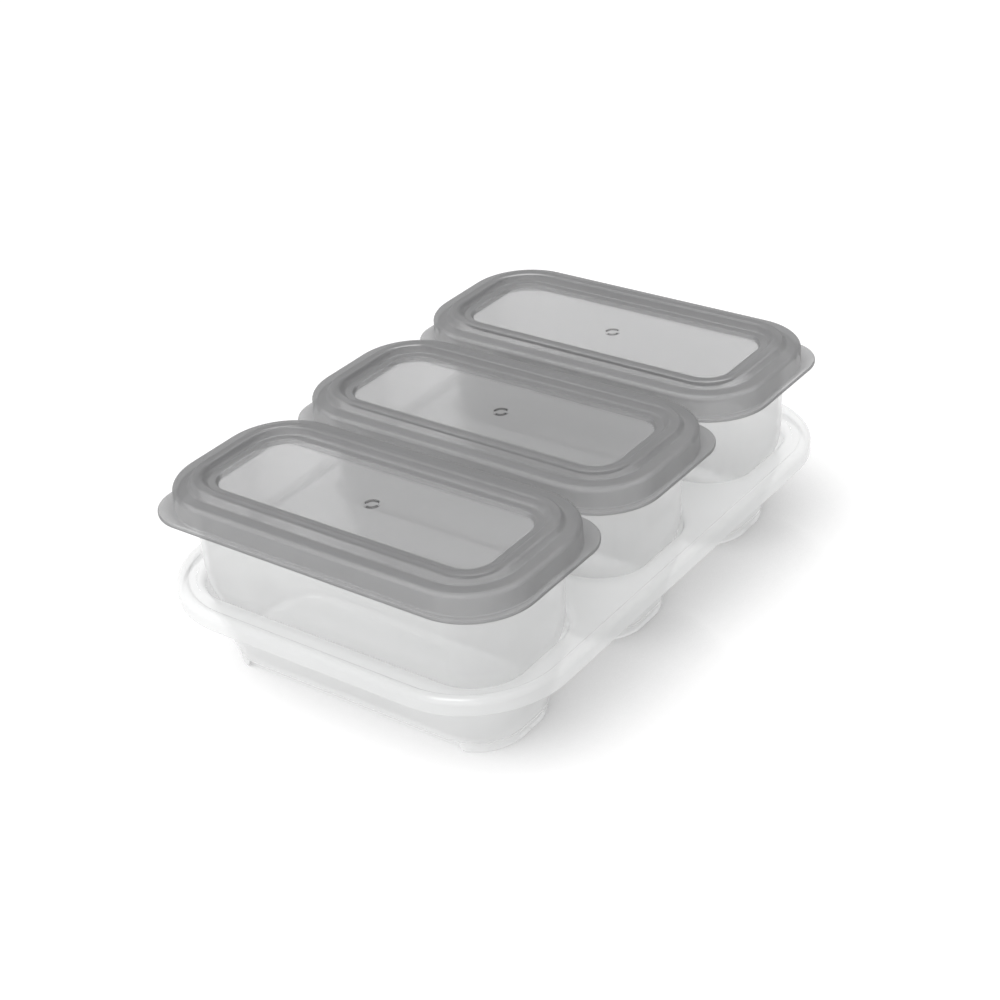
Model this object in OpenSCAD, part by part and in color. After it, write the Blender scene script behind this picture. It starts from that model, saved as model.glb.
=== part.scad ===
// Baby food storage set: three lidded containers that stand in the wells of one tray.
// Millimetres, +Z up. The origin is the middle of the tray's footprint, under its feet.
// X runs along each container and Y along the row. Container 1 stands at -Y.

/* [Container] */
// Outside length of the mouth, just under the rim
mouth_len = 110.9; // [96:0.1:140]
// Outside width of the mouth, just under the rim
mouth_wid = 48; // [44:0.1:60]
// Outside corner radius of the mouth
mouth_corner = 15.2; // [13:0.1:20]
// Height from the underside to the top of the rim
cup_h = 54; // [42:0.5:80]
// Height of the knee, where the lower taper turns into a nearly upright wall
knee_h = 23.9; // [16:0.1:34]
// How far each side leans in from the mouth down to the knee
upright_draft = 0.8; // [0.3:0.1:1.6]
// How far each side leans in from the knee down to the base
base_taper = 5.7; // [3:0.1:7]
// Outside corner radius of the base
base_corner = 14; // [9:0.5:15]
// Rounding between the side walls and the underside
base_round = 2.5; // [2:0.1:3.5]
// Wall and floor thickness of a container
cup_wall = 1.3; // [0.8:0.1:1.8]
// How far the rim reaches out from the mouth
rim_reach = 3.4; // [2.5:0.1:5]
// Thickness of the rim, whose edge is fully rounded
rim_thick = 1.6; // [1:0.1:2.4]

/* [Lid] */
// Clearance between the rim and the lid's wall
rim_gap = 0.3; // [0.2:0.05:0.6]
// Thickness of the lid's wall and panel
lid_wall = 1.4; // [0.9:0.1:1.8]
// How far the lid's wall hangs below the top of the rim
lid_drop = 6.2; // [4:0.1:9]
// Thickness of the shoulder that seats on the rim
shoulder_thick = 1.7; // [1.2:0.1:2.4]
// Rounding between the lid's wall and its shoulder
shoulder_round = 1.3; // [0.6:0.1:1.6]
// Width of the shoulder, from the lid's outer face to the foot of the ridge
shoulder_wid = 4.9; // [3.5:0.1:5.5]
// Height of the ridge above the shoulder
ridge_h = 2.1; // [1.7:0.1:3.2]
// How far the ridge's outer face leans in over its height
ridge_lean = 0.5; // [0.2:0.1:1]
// Rounding on the outer edge of the ridge
ridge_outer_round = 1.1; // [0.6:0.1:1.4]
// Rounding on the inner edge of the ridge
ridge_inner_round = 1.6; // [1:0.1:2]
// Width of the flat along the ridge's top
ridge_flat = 1.4; // [0.8:0.1:2.2]
// Angle of the slope from the ridge down to the ledge inside it
slope_angle = 51; // [40:1:65]
// Rounding at the foot of the slope, where it meets the ledge
slope_fillet = 0.7; // [0.3:0.1:1.2]
// Width of the ledge, which is level with the shoulder
ledge_wid = 2; // [1.2:0.1:3]
// Rounding on the ledge's inner edge
ledge_round = 0.4; // [0.2:0.1:0.8]
// Depth of the panel's top below the ledge
panel_drop = 1.4; // [0.8:0.1:2.4]
// How far the step from the ledge to the panel leans in over its depth
step_lean = 0.3; // [0.1:0.1:0.8]
// How far the flange reaches out from the lid's wall
flange_reach = 1.5; // [1:0.1:3]
// Thickness of the flange
flange_thick = 1.2; // [0.8:0.1:2]
// Radius of the flange's two plain corners
flange_corner = 20.5; // [16:0.1:26]
// Radius of the two squarer corners, by which the lid is pulled off
tab_corner = 13.4; // [8:0.1:18]
// Free space between the flanges of neighbouring lids
flange_space = 0.8; // [0.4:0.1:6]
// Outer diameter of the ring-shaped moulding mark in the middle of the panel
mark_d = 4.6; // [3:0.1:8]
// Width of the mark's line
mark_line = 0.6; // [0.3:0.1:1]
// Depth of the mark
mark_depth = 0.3; // [0.1:0.1:0.5]

/* [Tray] */
// Clearance round a container that stands in its well
well_gap = 0.7; // [0.4:0.1:1.2]
// Wall thickness of the tray
tray_wall = 1.5; // [1:0.1:2]
// Rounding of the lip round the mouth of each well
lip_round = 2.6; // [1.8:0.1:3.5]
// Deck between the lips and the tray's edge
deck_margin = 8; // [6:0.5:16]
// Corner radius of the tray's edge
tray_corner = 30.9; // [20:0.1:40]
// Radius of the rolled bead along the tray's edge
bead_round = 2; // [1.5:0.1:2.5]
// Height of the bead above the deck
bead_rise = 1; // [0.5:0.1:1.4]
// Height of the tray's edge, from the bead's top to the lower edge of its skirt
skirt_h = 5.4; // [4.5:0.1:12]
// Rounding inside the skirt, under the deck
skirt_fillet = 0.6; // [0.3:0.1:1]
// Rounding under each well
well_round = 1.8; // [1.2:0.1:2]
// Height of the feet under the wells
foot_h = 3; // [2:0.5:8]
// Thickness of a foot
foot_wall = 1.8; // [1.2:0.1:2.6]
// How far the feet stand in from the foot of the well's wall
foot_inset = 0.7; // [0.6:0.1:1.5]
// How far each foot runs back along the sides from the end of its well
foot_arm = 11; // [6:0.5:20]

/* [Hidden] */

clear_plastic = [0.90, 0.92, 0.93, 0.45];
grey_plastic = [0.56, 0.57, 0.58, 0.85];

rows = 3;            // containers in the row
corner_steps = 10;   // flats round each corner of a lofted wall
round_steps = 3;     // flats in the rounding under a lofted wall, and in small roundings
lip_steps = 4;       // flats in the rounded lip of a well
arc_steps = 6;       // flats in the roundings of a swept profile
cut_over = 1;        // how far a cutter runs past the face that it opens
$fn = 96;

// A section is a rounded rectangle, [length, width, corner radius].
function grown(section, by) = [section[0] + 2 * by, section[1] + 2 * by, section[2] + by];

mouth = [mouth_len, mouth_wid, mouth_corner];
knee = grown(mouth, -upright_draft);
base = [knee[0] - 2 * base_taper, knee[1] - 2 * base_taper, base_corner];
lid_out = grown(mouth, rim_reach + rim_gap + lid_wall);
flange = [lid_out[0] + 2 * flange_reach, lid_out[1] + 2 * flange_reach, flange_corner];
tabs = [flange[0], flange[1], tab_corner];
neck = grown(knee, well_gap);
lip = grown(neck, lip_round);
well_base = grown(base, well_gap + tray_wall);

pitch = flange[1] + flange_space;
tray_out = [lip[0] + 2 * deck_margin, lip[1] + (rows - 1) * pitch + 2 * deck_margin, tray_corner];

floor_z = foot_h + tray_wall;            // the wells' floors, on which the containers stand
deck_z = floor_z + knee_h;               // top of the deck, level with the containers' knees
deck_under_z = deck_z - tray_wall;
neck_z = deck_z - lip_round;
bead_top_z = deck_z + bead_rise;
bead_mid_z = bead_top_z - bead_round;
skirt_z = bead_top_z - skirt_h;
rim_z = floor_z + cup_h;                 // top of a container's rim, the seat of its lid
shoulder_z = rim_z + shoulder_thick;
ridge_z = shoulder_z + ridge_h;
panel_z = shoulder_z - panel_drop;
flange_z = rim_z - lid_drop;

// Middle of a row's place, counted from 1
function row_y(row) = (row - (rows + 1) / 2) * pitch;

// Points on an arc about a middle, from one angle to another
function arc(mid, radius, from, to, steps = arc_steps) =
    [for (i = [0:steps]) let (a = from + (to - from) * i / steps)
        [mid[0] + radius * cos(a), mid[1] + radius * sin(a)]];

// Outline of a section, counter-clockwise, with the same count of points for every section
function outline(section) =
    [for (quarter = [0:3], i = [0:corner_steps])
        let (a = 90 * (quarter + i / corner_steps),
             side_x = (quarter == 0 || quarter == 3) ? 1 : -1,
             side_y = (quarter < 2) ? 1 : -1)
        [side_x * (section[0] / 2 - section[2]) + section[2] * cos(a),
         side_y * (section[1] / 2 - section[2]) + section[2] * sin(a)]];

// Closed solid through a stack of sections, each given as [height, section]
module loft(levels) {
    n = 4 * (corner_steps + 1);
    top = len(levels) - 1;
    points = [for (level = levels) for (p = outline(level[1])) [p[0], p[1], level[0]]];
    underside = [[for (i = [0:n - 1]) i]];
    sides = [for (k = [0:top - 1], i = [0:n - 1])
        let (j = (i + 1) % n) [k * n + i, (k + 1) * n + i, (k + 1) * n + j, k * n + j]];
    upper_face = [[for (i = [n - 1:-1:0]) top * n + i]];
    polyhedron(points, concat(underside, sides, upper_face));
}

// Levels of a rounded underside: the section grows from its inset edge up to its full size
function rounded_foot(z, section, radius) =
    [for (i = [0:round_steps]) let (a = 90 * i / round_steps)
        [z + radius * (1 - cos(a)), grown(section, -radius * (1 - sin(a)))]];

// Levels of a rounded lip: the section opens out from a wall until it lies flat
function rounded_lip(z, section, radius) =
    [for (i = [0:lip_steps]) let (a = 90 * i / lip_steps)
        [z + radius * sin(a), grown(section, radius * (1 - cos(a)))]];

// Rounded rectangle with true arcs
module rounded_rect(section) {
    square([section[0], section[1] - 2 * section[2]], center = true);
    square([section[0] - 2 * section[2], section[1]], center = true);
    for (x = [-1, 1], y = [-1, 1])
        translate([x * (section[0] / 2 - section[2]), y * (section[1] / 2 - section[2])])
            circle(section[2]);
}

// Carries a profile round a section. The profile's x is the distance from the corner's middle, its y the height.
module sweep(section) {
    mid_x = section[0] / 2 - section[2];
    mid_y = section[1] / 2 - section[2];
    for (flip_x = [0, 1], flip_y = [0, 1])
        mirror([flip_x, 0, 0]) mirror([0, flip_y, 0])
            translate([mid_x, mid_y, 0]) rotate_extrude(angle = 90) children();
    for (flip = [0, 1]) {
        mirror([0, flip, 0]) translate([0, mid_y, 0])
            rotate([90, 0, 90]) linear_extrude(2 * mid_x, center = true) children();
        mirror([flip, 0, 0]) translate([mid_x, 0, 0])
            rotate([90, 0, 0]) linear_extrude(2 * mid_y, center = true) children();
    }
}

// Bead, edge and skirt of the tray, with the outermost face at the section's corner radius
module tray_edge_profile() {
    bead_mid = [tray_corner - bead_round, bead_mid_z];
    deck_angle = 180 - asin((deck_z - bead_mid_z) / bead_round);
    inner = tray_corner - tray_wall;
    polygon(concat(
        [[tray_corner, skirt_z]],
        arc(bead_mid, bead_round, 0, deck_angle, 2 * arc_steps),
        [[bead_mid[0] + bead_round * cos(deck_angle), deck_under_z]],
        arc([inner - skirt_fillet, deck_under_z - skirt_fillet], skirt_fillet, 90, 0),
        [[inner, skirt_z]]));
}

// One well's outer body, up into the thickness of the deck
module well_body() {
    loft(concat(
        rounded_foot(foot_h, well_base, well_round),
        [[deck_z - tray_wall / 2, grown(neck, tray_wall)]]));
}

// Room for a container inside a well, opening over the well's rounded lip
module well_room() {
    loft(concat(
        [[floor_z, grown(base, well_gap - base_round / 2)],
         [floor_z + base_round / 2, grown(base, well_gap)]],
        rounded_lip(neck_z, neck, lip_round),
        [[deck_z + cut_over, lip]]));
}

// The pair of curved feet that wrap round the ends of one well
module feet() {
    outer = grown(well_base, -foot_inset);
    foot_top = foot_h + tray_wall / 2;
    middle_len = outer[0] - 2 * foot_arm;
    linear_extrude(foot_top) difference() {
        rounded_rect(outer);
        rounded_rect(grown(outer, -foot_wall));
        square([middle_len, outer[1] + cut_over], center = true);
    }
}

module tray() {
    color(clear_plastic) difference() {
        union() {
            sweep(tray_out) tray_edge_profile();
            translate([0, 0, deck_under_z]) linear_extrude(tray_wall) rounded_rect(grown(tray_out, -bead_round));
            for (row = [1:rows]) translate([0, row_y(row), 0]) {
                well_body();
                feet();
            }
        }
        for (row = [1:rows]) translate([0, row_y(row), 0]) well_room();
    }
}

// Out-turned rim of a container, with a fully rounded edge
module rim_profile() {
    inner = mouth_corner - cup_wall - cut_over;
    polygon(concat(
        [[inner, rim_z - rim_thick]],
        arc([mouth_corner + rim_reach - rim_thick / 2, rim_z - rim_thick / 2], rim_thick / 2, -90, 90),
        [[inner, rim_z]]));
}

module container(row) {
    inner_mouth = grown(mouth, -cup_wall);
    color(clear_plastic) translate([0, row_y(row), 0]) difference() {
        union() {
            loft(concat(
                rounded_foot(floor_z, base, base_round),
                [[deck_z, knee], [rim_z - rim_thick / 2, mouth]]));
            sweep(mouth) rim_profile();
        }
        loft(concat(
            rounded_foot(floor_z + cup_wall, grown(base, -cup_wall), base_round - cup_wall),
            [[deck_z, grown(knee, -cup_wall)], [rim_z - rim_thick / 2, inner_mouth],
             [rim_z + cut_over, inner_mouth]]));
    }
}

// Wall, shoulder, ridge and ledge of a lid. Inset is measured from the outer face of the wall.
function lid_point(inset, z) = [lid_out[2] - inset, z];

ridge_foot = shoulder_wid;
ridge_face = ridge_foot + ridge_lean;
crest_from = ridge_face + ridge_outer_round;
crest_to = crest_from + ridge_flat;
slope_top = lid_point(crest_to + ridge_inner_round * sin(slope_angle),
                      ridge_z - ridge_inner_round * (1 - cos(slope_angle)));
fillet_rise = slope_fillet * (1 - cos(slope_angle));
slope_run = (slope_top[1] - shoulder_z - fillet_rise) / tan(slope_angle);
slope_end = [slope_top[0] - slope_run, shoulder_z + fillet_rise];
ledge_edge = slope_end[0] - slope_fillet * sin(slope_angle) - ledge_wid;
panel_edge = ledge_edge - step_lean;
panel = grown(lid_out, panel_edge - lid_out[2]);

module lid_ring_profile() {
    // the underside follows the slope, the ledge and the step, one wall thickness away from them
    under_top = slope_top + lid_wall * [sin(slope_angle), -cos(slope_angle)];
    ledge_under = shoulder_z - lid_wall;
    under_run = (under_top[1] - ledge_under) / tan(slope_angle);
    arch_outer = ridge_face + lid_wall;
    polygon(concat(
        [lid_point(0, flange_z)],
        arc(lid_point(shoulder_round, shoulder_z - shoulder_round), shoulder_round, 0, 90),
        [lid_point(ridge_foot, shoulder_z)],
        arc(lid_point(crest_from, ridge_z - ridge_outer_round), ridge_outer_round, 0, 90),
        arc(lid_point(crest_to, ridge_z - ridge_inner_round), ridge_inner_round, 90, 90 + slope_angle),
        arc(slope_end + slope_fillet * [-sin(slope_angle), cos(slope_angle)], slope_fillet,
            slope_angle - 90, -90, round_steps),
        arc([ledge_edge + ledge_round, shoulder_z - ledge_round], ledge_round, 90, 180, round_steps),
        [[panel_edge, panel_z],
         [panel_edge, panel_z - lid_wall],
         [panel_edge + lid_wall, panel_z - lid_wall],
         [ledge_edge + lid_wall, ledge_under],
         [under_top[0] - under_run, ledge_under],
         under_top,
         lid_point(crest_to, ridge_z - lid_wall),
         lid_point(arch_outer, ridge_z - lid_wall),
         lid_point(arch_outer, rim_z),
         lid_point(lid_wall, rim_z),
         lid_point(lid_wall, flange_z)]));
}

// Flange round the lid's wall, with the two squarer corners at -X -Y and at +X +Y
module flange_outline() {
    rounded_rect(flange);
    for (turn = [0, 180]) rotate(turn) intersection() {
        rounded_rect(tabs);
        square([tabs[0], tabs[1]]);
    }
}

module mark() {
    linear_extrude(mark_depth + cut_over) difference() {
        circle(d = mark_d);
        circle(d = mark_d - 2 * mark_line);
    }
}

module lid(row) {
    color(grey_plastic) translate([0, row_y(row), 0]) difference() {
        union() {
            sweep(lid_out) lid_ring_profile();
            translate([0, 0, panel_z - lid_wall]) linear_extrude(lid_wall) rounded_rect(panel);
            translate([0, 0, flange_z]) linear_extrude(flange_thick) difference() {
                flange_outline();
                rounded_rect(grown(lid_out, -lid_wall));
            }
        }
        translate([0, 0, panel_z - mark_depth]) mark();
    }
}

tray();
container(1);  // container_1
container(2);  // container_2
container(3);  // container_3
lid(1);  // lid_1
lid(2);  // lid_2
lid(3);  // lid_3
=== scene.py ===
"""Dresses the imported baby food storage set: a clear tray, three clear containers and three grey lids.

Sizes are in millimetres, in the frame of the CAD. Meshes are turned to metres when they are made.
"""
import logging
import math
from dataclasses import dataclass, field
from enum import Enum

import bmesh
import bpy
import numpy as np
from mathutils import Matrix, Vector


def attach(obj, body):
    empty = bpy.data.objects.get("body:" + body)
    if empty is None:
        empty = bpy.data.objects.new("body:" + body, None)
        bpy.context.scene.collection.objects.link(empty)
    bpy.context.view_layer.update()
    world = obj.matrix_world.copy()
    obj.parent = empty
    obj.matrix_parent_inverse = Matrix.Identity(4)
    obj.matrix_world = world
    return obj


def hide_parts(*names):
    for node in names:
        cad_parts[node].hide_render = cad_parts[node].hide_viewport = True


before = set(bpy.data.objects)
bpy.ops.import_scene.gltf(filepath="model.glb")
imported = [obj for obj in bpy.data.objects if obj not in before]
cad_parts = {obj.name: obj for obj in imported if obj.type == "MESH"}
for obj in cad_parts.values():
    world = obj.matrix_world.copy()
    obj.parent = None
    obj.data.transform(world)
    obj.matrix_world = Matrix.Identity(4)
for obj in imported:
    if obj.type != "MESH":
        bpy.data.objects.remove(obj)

LOG = logging.getLogger("storage_set")

Point = tuple[float, float]  # a distance and a height, or a place seen from above
Triple = tuple[float, float, float]  # a colour, a direction or a place
Rings = list[np.ndarray]  # closed lines of points of shape (n, 3), in the order of a skin
Object = bpy.types.Object
Material = bpy.types.Material
Socket = bpy.types.NodeSocket
Inputs = dict[str | int, Socket | float | tuple]  # what a node's inputs are fed with

MM = 0.001  # metres in a millimetre
MERGED_WITHIN = 2e-6  # points of neighbouring grids that lie this near become one, in metres
SLIVER = 1e-7  # edges shorter than this are dissolved, in metres
CREASE = 40.0  # angle between faces from which their edge is shaded sharp, in degrees

CORNER_STEPS = 10  # segments from the end of a straight side to the middle of a corner
SHORT_STEPS = 10  # segments along a straight side in Y
LONG_STEPS = 30  # segments along a straight side in X
SIDE_STEPS = 2 * (2 * CORNER_STEPS + SHORT_STEPS, 2 * CORNER_STEPS + LONG_STEPS)
CORNERS = ((1, -1), (1, 1), (-1, 1), (-1, -1))  # signs of x and y at the corner where each side starts

FIRST_ROW, LAST_ROW = 1, 3
ROWS = range(FIRST_ROW, LAST_ROW + 1)
PITCH = 62.0
FLOOR_Z = 4.5  # floors of the wells, on which the containers stand
DECK_Z = 28.4  # top of the deck, level with the containers' knees
RIM_Z = 58.5  # top of a container's rim, the seat of its lid


def row_middle(row: int) -> Point:
    """Returns the middle of a row's place, seen from above."""
    return 0.0, (row - (FIRST_ROW + LAST_ROW) / 2) * PITCH


def arc(mid: Point, radius: float, start: float, end: float, steps: int) -> list[Point]:
    """Returns points on an arc about a middle, between two angles in degrees."""
    angle = np.radians(np.linspace(start, end, steps + 1))
    return [(mid[0] + radius * math.cos(a), mid[1] + radius * math.sin(a)) for a in angle]


class Side(Enum):
    """The four sides of a rounded rectangle, counter-clockwise from above."""

    RIGHT = 0
    FAR = 1
    LEFT = 2
    NEAR = 3


class Slot(Enum):
    """Material slots of the record."""

    TRAY = "tray_clear"
    CONTAINER = "container_clear"
    LID = "lid_grey"


@dataclass(frozen=True)
class Section:
    """A rounded rectangle centred on the origin.

    The two corners at -X -Y and +X +Y may have a radius of their own, for the lid's pull corners.
    """

    length: float
    width: float
    corner: float
    tab: float | None = None

    def grown(self, by: float) -> "Section":
        """Returns the section offset outwards by a distance, which keeps it concentric."""
        tab = None if self.tab is None else self.tab + by
        return Section(self.length + 2 * by, self.width + 2 * by, self.corner + by, tab)

    def toward(self, other: "Section", share: float) -> "Section":
        """Returns the section a share of the way to another one without tabs."""
        pairs = zip((self.length, self.width, self.corner), (other.length, other.width, other.corner))
        return Section(*(a * (1 - share) + b * share for a, b in pairs))

    def beyond(self, place: np.ndarray) -> np.ndarray:
        """Returns how far points lie outside: the distance from the corner's middle less the corner's radius.

        Args:
            place: Points of shape (n, 2) or (n, 3), seen from above.

        Returns:
            Distances of shape (n,), below 0 inside.
        """
        half = np.array([self.length, self.width]) / 2
        reach = np.maximum(np.abs(place[:, :2]) - half + self.corner, 0)
        return np.hypot(reach[:, 0], reach[:, 1]) - self.corner

    def outline(self) -> np.ndarray:
        """Works out the outline as arcs at the corners with straight sides between them.

        Each side runs from the middle of one corner to the middle of the next. A point of an arc is the arc's
        middle plus the radius times the direction of its angle.

        Returns:
            Points of shape (n, 2), starting at the middle of the corner at +X -Y.
        """
        tab = self.corner if self.tab is None else self.tab
        radii = (self.corner, tab, self.corner, tab)
        mids = [np.array([x * (self.length / 2 - r), y * (self.width / 2 - r)])
                for (x, y), r in zip(CORNERS, radii)]
        parts = []
        for side, steps in zip(Side, SIDE_STEPS):
            i, j = side.value, (side.value + 1) % len(Side)
            start = math.radians(90 * i - 45)
            first = np.linspace(start, start + math.pi / 4, CORNER_STEPS + 1)
            second = first + math.pi / 4
            arc_in = mids[i] + radii[i] * np.column_stack((np.cos(first), np.sin(first)))
            arc_out = mids[j] + radii[j] * np.column_stack((np.cos(second), np.sin(second)))
            share = np.linspace(0, 1, steps - 2 * CORNER_STEPS + 1)[1:-1, None]
            straight = arc_in[-1] * (1 - share) + arc_out[0] * share
            parts.append(np.vstack((arc_in, straight, arc_out[:-1])))
        return np.vstack(parts)


MOUTH = Section(110.9, 48.0, 15.2)  # outside of a container, just under its rim
KNEE = MOUTH.grown(-0.8)
BASE = Section(97.9, 35.0, 14.0)


@dataclass(frozen=True)
class Level:
    """A section at a height."""

    section: Section
    z: float

    def toward(self, other: "Level", share: float) -> "Level":
        """Returns the level a share of the way to another one."""
        return Level(self.section.toward(other.section, share), self.z * (1 - share) + other.z * share)

    def ring(self, middle: Point = (0.0, 0.0)) -> np.ndarray:
        """Returns the outline about a middle, lifted to its height, of shape (n, 3)."""
        return lifted(self.section.outline() + np.array(middle), self.z)


def lifted(flat: np.ndarray, z: float | np.ndarray) -> np.ndarray:
    """Returns points of shape (n, 2) with a height added, or a height for each of them."""
    return np.column_stack((flat, np.broadcast_to(z, len(flat))))


def offsets(section: Section, points: list[Point]) -> list[Level]:
    """Returns a section grown by each point's distance, at the point's height."""
    return [Level(section.grown(by), z) for by, z in points]


def circle_ring(radius: float, z: float) -> np.ndarray:
    """Returns a circle with a point at a like angle for each point of a section's outline.

    Args:
        radius: The circle's radius.
        z: Its height.

    Returns:
        The ring.
    """
    sides = [np.linspace(90 * i - 45, 90 * i + 45, steps, endpoint=False)
             for i, steps in enumerate(SIDE_STEPS)]
    angle = np.radians(np.concatenate(sides))
    return lifted(radius * np.column_stack((np.cos(angle), np.sin(angle))), z)


def spread(outer: np.ndarray, inner: np.ndarray, shares: tuple[float, ...]) -> Rings:
    """Returns rings between two rings, each a share of the way from the outer to the inner one."""
    return [outer * (1 - t) + inner * t for t in shares]


@dataclass
class Skin:
    """Gathers grids of points and their faces into one closed mesh."""

    points: Rings = field(default_factory=list)
    faces: list[tuple[int, ...]] = field(default_factory=list)
    count: int = 0

    def add_rings(self, rings: Rings, closed_start: bool = False, closed_end: bool = False) -> None:
        """Adds a skin through rings: point (i, j) of its grid is point j of ring i.

        Args:
            rings: Rings that all have as many points.
            closed_start: Closes the first ring with a fan about its middle.
            closed_end: Closes the last ring with a fan about its middle.
        """
        n, last = len(rings[0]), len(rings[0]) * (len(rings) - 1)
        j = np.arange(n)
        k = (j + 1) % n
        start = n * np.arange(len(rings) - 1)[:, None]
        quads = np.stack((start + j, start + k, start + n + k, start + n + j), axis=-1).reshape(-1, 4)
        grids, faces = [np.vstack(rings)], [quads]
        if closed_start:
            grids.append(rings[0].mean(axis=0)[None])
            faces.append(np.column_stack((np.full(n, last + n), k, j)))
        if closed_end:
            grids.append(rings[-1].mean(axis=0)[None])
            faces.append(np.column_stack((last + j, last + k, np.full(n, last + n + closed_start))))
        for part in faces:
            self.faces += [tuple(face) for face in (part + self.count).tolist()]
        self.points += grids
        self.count += last + n + closed_start + closed_end

    def to_object(self, name: str) -> Object:
        """Makes the mesh: joins the grids where they meet and turns every face outwards.

        Args:
            name: Name of the object.

        Returns:
            The object, linked to the scene, at the origin.
        """
        mesh = bpy.data.meshes.new(name)
        mesh.from_pydata((np.vstack(self.points) * MM).tolist(), [], self.faces)
        grid = bmesh.new()
        grid.from_mesh(mesh)
        bmesh.ops.remove_doubles(grid, verts=grid.verts, dist=MERGED_WITHIN)
        bmesh.ops.dissolve_degenerate(grid, edges=grid.edges, dist=SLIVER)
        bmesh.ops.recalc_face_normals(grid, faces=grid.faces)
        open_edges = sum(1 for edge in grid.edges if len(edge.link_faces) != 2)
        grid.to_mesh(mesh)
        grid.free()
        mesh.shade_smooth()
        mesh.set_sharp_from_angle(angle=math.radians(CREASE))
        LOG.info("%s: %d faces, %d open edges", name, len(mesh.polygons), open_edges)
        made = bpy.data.objects.new(name, mesh)
        bpy.context.scene.collection.objects.link(made)
        return made

    def to_piece(self, name: str, node: str, material: Material) -> Object:
        """Makes the mesh and puts it in the place of its CAD node.

        Args:
            name: Name of the object.
            node: The node that it rides on and replaces.
            material: The material.

        Returns:
            The piece.
        """
        piece = self.to_object(name)
        piece.data.materials.append(material)
        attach(piece, node)
        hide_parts(node)
        return piece


class Maths(Enum):
    """Operations of a maths node."""

    ADD = "ADD"
    MULTIPLY = "MULTIPLY"
    MAXIMUM = "MAXIMUM"


class Blend(Enum):
    """Kinds of value that a mix node mixes."""

    NUMBER = "FLOAT"
    COLOUR = "RGBA"


@dataclass(frozen=True)
class Wiring:
    """Adds nodes to a node tree and feeds their inputs with sockets, numbers, vectors or colours."""

    tree: bpy.types.NodeTree

    def add(self, kind: str, inputs: Inputs | None = None) -> bpy.types.Node:
        """Adds a shader node of a kind and feeds its inputs.

        Args:
            kind: The node's type without ShaderNode.
            inputs: What its inputs are fed with.

        Returns:
            The node.
        """
        node = self.tree.nodes.new("ShaderNode" + kind)
        self.feed(node, inputs or {})
        return node

    def feed(self, node: bpy.types.Node, inputs: Inputs) -> None:
        """Links sockets to a node's inputs, or sets inputs to numbers, vectors or colours.

        Args:
            node: The node.
            inputs: A socket or value for each name or number of an input.
        """
        for name, value in inputs.items():
            if isinstance(value, Socket):
                self.tree.links.new(value, node.inputs[name])
            elif node.inputs[name].type == "RGBA":
                node.inputs[name].default_value = (*value, 1)
            else:
                node.inputs[name].default_value = value

    def maths(self, kind: Maths, first: Socket, second: Socket | float) -> Socket:
        """Returns the result of an operation on two values.

        Args:
            kind: The operation.
            first: The first value.
            second: The second value.

        Returns:
            The socket of the result.
        """
        node = self.add("Math", {0: first, 1: second})
        node.operation = kind.value
        return node.outputs[0]

    def ranged(self, value: Socket, low: Socket | float, high: Socket | float,
               start: float = 0.0, end: float = 1.0) -> Socket:
        """Turns a value between start and end into one between low and high.

        Args:
            value: The value.
            low: The result at start and below it.
            high: The result at end and beyond it.
            start: The value's lower limit.
            end: The value's upper limit.

        Returns:
            The socket of the result.
        """
        limits = {"Value": value, "From Min": start, "From Max": end, "To Min": low, "To Max": high}
        return self.add("MapRange", limits).outputs["Result"]

    def mixed(self, kind: Blend, share: Socket, first: Socket | Triple, second: float | Triple) -> Socket:
        """Returns a mix of two numbers or colours, which is the first where the share is 0.

        Args:
            kind: What is mixed.
            share: The second one's share.
            first: The first number or colour.
            second: The second one.

        Returns:
            The socket of the mix.
        """
        node = self.add("Mix")
        node.data_type = kind.value
        self.feed(node, {"Factor": share, "A": first, "B": second})
        return node.outputs["Result"]

    def attribute(self, name: str) -> Socket:
        """Returns a point attribute of the mesh.

        Args:
            name: Its name.

        Returns:
            The socket of its value.
        """
        node = self.add("Attribute")
        node.attribute_name = name
        return node.outputs["Fac"]

    def show(self, plain: Socket, seen: Socket, output: str) -> None:
        """Feeds the output node with a shader, and with another one for the rays that an eye sees.

        Args:
            plain: The shader for shadow, diffuse and all other rays.
            seen: The shader for camera, glossy and transmission rays.
            output: Name of the output node.
        """
        path = self.add("LightPath").outputs
        direct = self.maths(Maths.MAXIMUM, path["Is Camera Ray"], path["Is Glossy Ray"])
        eye = self.maths(Maths.MAXIMUM, direct, path["Is Transmission Ray"])
        mix = self.add("MixShader", {"Fac": eye, 1: plain, 2: seen})
        self.feed(self.tree.nodes[output], {"Surface": mix.outputs["Shader"]})


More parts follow.
